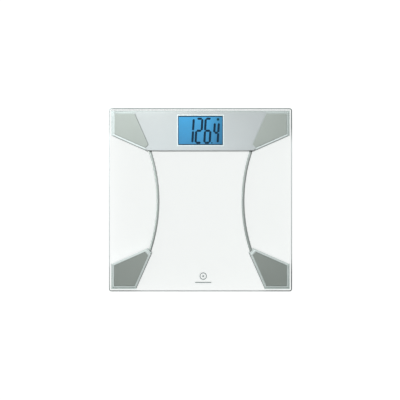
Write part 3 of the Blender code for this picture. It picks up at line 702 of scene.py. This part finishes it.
# Lengths from here on are in metres. The camera looks straight down, as in the photo.
CAMERA_X, CAMERA_Y, CAMERA_Z = -0.0008, -0.0003, 1.6
PLATE_TOP = 0.025
FIELD = 0.6662  # width that the picture shows at the top of the glass
SENSOR_MM = 36.0
camera_data = bpy.data.cameras.new("camera")
camera = bpy.data.objects.new("camera", camera_data)
scene.collection.objects.link(camera)
scene.camera = camera
camera_data.sensor_width = SENSOR_MM
camera_data.lens = SENSOR_MM * (CAMERA_Z - PLATE_TOP) / FIELD
camera_data.clip_start = 0.05
camera_data.clip_end = 20.0
camera.location = (CAMERA_X, CAMERA_Y, CAMERA_Z)

# Room: white to the camera. What lights the object has darker walls, a paler roof, a dim patch
# straight above, and more light from the left. Rays with no diffuse bounce see paler walls.
WALL_LIGHT, ROOF_LIGHT, OVERHEAD = 0.16, 0.40, 0.3
WALL_MIRRORED = 0.85
WALL_TOP, ROOF_START = 0.08, 0.35
PATCH_EDGE, PATCH_FULL = 0.93, 0.985
LEFT_GAIN, RIGHT_GAIN = 1.85, 0.15
world = bpy.data.worlds.new("studio")
scene.world = world
world.use_nodes = True
world.cycles.sampling_method = "NONE"
tree = world.node_tree
background = tree.nodes["Background"]
path = node(tree, "ShaderNodeLightPath")
sky = node(tree, "ShaderNodeTexCoord")
toward = node(tree, "ShaderNodeSeparateXYZ")
link(tree, sky, "Generated", toward, "Vector")
up, sideways = toward.outputs["Z"], toward.outputs["X"]
diffuse_bounces, mirror_bounces = path.outputs["Diffuse Depth"], path.outputs["Glossy Depth"]
wall_tone = ramp(tree, diffuse_bounces, 0.0, 1.0, WALL_MIRRORED, WALL_LIGHT)
walls = ramp(tree, up, WALL_TOP, ROOF_START, wall_tone, ROOF_LIGHT)
room = calc(tree, "MULTIPLY", walls, ramp(tree, up, PATCH_EDGE, PATCH_FULL, 1.0, OVERHEAD))
room = calc(tree, "MULTIPLY", room, ramp(tree, sideways, -1.0, 1.0, LEFT_GAIN, RIGHT_GAIN))
direct = calc(tree, "LESS_THAN", calc(tree, "ADD", diffuse_bounces, mirror_bounces), 0.5)
plug(tree, mix_color(tree, direct, room, rgb((1.0, 1.0, 1.0))), background.inputs["Color"])
background.inputs["Strength"].default_value = 1.0


def lamp(name, location, target, size, power, color=(1.0, 1.0, 1.0)):
    """Square area lamp aimed at a target."""
    data = bpy.data.lights.new(name, "AREA")
    data.shape = "SQUARE"
    data.size = size
    data.energy = power
    data.color = color
    obj = bpy.data.objects.new(name, data)
    obj.location = location
    aim = Vector(target) - Vector(location)
    obj.rotation_euler = aim.to_track_quat("-Z", "Y").to_euler()
    scene.collection.objects.link(obj)
    return obj


KEY_AT, KEY_AIM, KEY_SIZE, KEY_POWER = (-0.12, 0.36, 0.46), (0.0, 0.0, 0.02), 0.16, 3.75
KEY_COLOR = (0.965, 0.975, 1.0)
key = lamp("key", KEY_AT, KEY_AIM, KEY_SIZE, KEY_POWER, KEY_COLOR)

# pale floor: it glows by itself and the key leaves it out, so that it stays even. It is darker in
# reflections, and gives the object little light from below.
FLOOR_GLOW, FLOOR_MIRRORED, FLOOR_BOUNCE = 0.895, 0.60, 0.12
FLOOR_HALF = 8.0
floor_mat, tree, bsdf = new_material("pale_floor")
coord = node(tree, "ShaderNodeTexCoord")
mottle = noise(tree, coord, 3.0)
tree.links.new(mix_color(tree, mottle.outputs[0], rgb((0.50, 0.50, 0.50)), rgb((0.52, 0.52, 0.52))),
               bsdf.inputs["Base Color"])
bsdf.inputs["Roughness"].default_value = 0.9
bsdf.inputs["Specular IOR Level"].default_value = 0.0
bsdf.inputs["Emission Color"].default_value = (1.0, 1.0, 1.0, 1.0)
path = node(tree, "ShaderNodeLightPath")
mirrored = ramp(tree, path.outputs["Glossy Depth"], 0.0, 1.0, FLOOR_GLOW, FLOOR_MIRRORED)
plug(tree, ramp(tree, path.outputs["Diffuse Depth"], 0.0, 1.0, mirrored, FLOOR_BOUNCE),
     bsdf.inputs["Emission Strength"])
floor_mesh = bpy.data.meshes.new("floor")
floor_mesh.from_pydata([(-FLOOR_HALF, -FLOOR_HALF, 0.0), (FLOOR_HALF, -FLOOR_HALF, 0.0),
                        (FLOOR_HALF, FLOOR_HALF, 0.0), (-FLOOR_HALF, FLOOR_HALF, 0.0)],
                       [], [(0, 1, 2, 3)])
floor = bpy.data.objects.new("floor", floor_mesh)
floor.data.materials.append(floor_mat)
scene.collection.objects.link(floor)


def leave_out(name, objects):
    """Light linking collection that shuts the given objects out."""
    group = bpy.data.collections.new(name)
    for index, obj in enumerate(objects):
        group.objects.link(obj)
        group.collection_objects[index].light_linking.link_state = "EXCLUDE"
    return group


# the key leaves out the floor and the glass, and the glass edge ring casts no shadow from it
key.light_linking.receiver_collection = leave_out("unlit_by_key", (floor, nodes["glass_platform"]))
key.light_linking.blocker_collection = leave_out("open_to_key", (arris,))

# low light from the left, for the round tubes and the left toe rim alone
SIDE_AT, SIDE_AIM, SIDE_SIZE, SIDE_POWER = (-0.45, 0.03, 0.16), (-0.09, 0.02, 0.012), 0.10, 1.2
side = lamp("side", SIDE_AT, SIDE_AIM, SIDE_SIZE, SIDE_POWER)
side.visible_camera = False
lit_by_side = bpy.data.collections.new("lit_by_side")
side.light_linking.receiver_collection = lit_by_side
for name in ("tube_left", "tube_right", "rim_toe_left"):
    lit_by_side.objects.link(bpy.data.objects[name])

scene.view_settings.view_transform = "Standard"
scene.view_settings.look = "None"
scene.view_settings.exposure = 0.0
scene.view_settings.gamma = 1.0
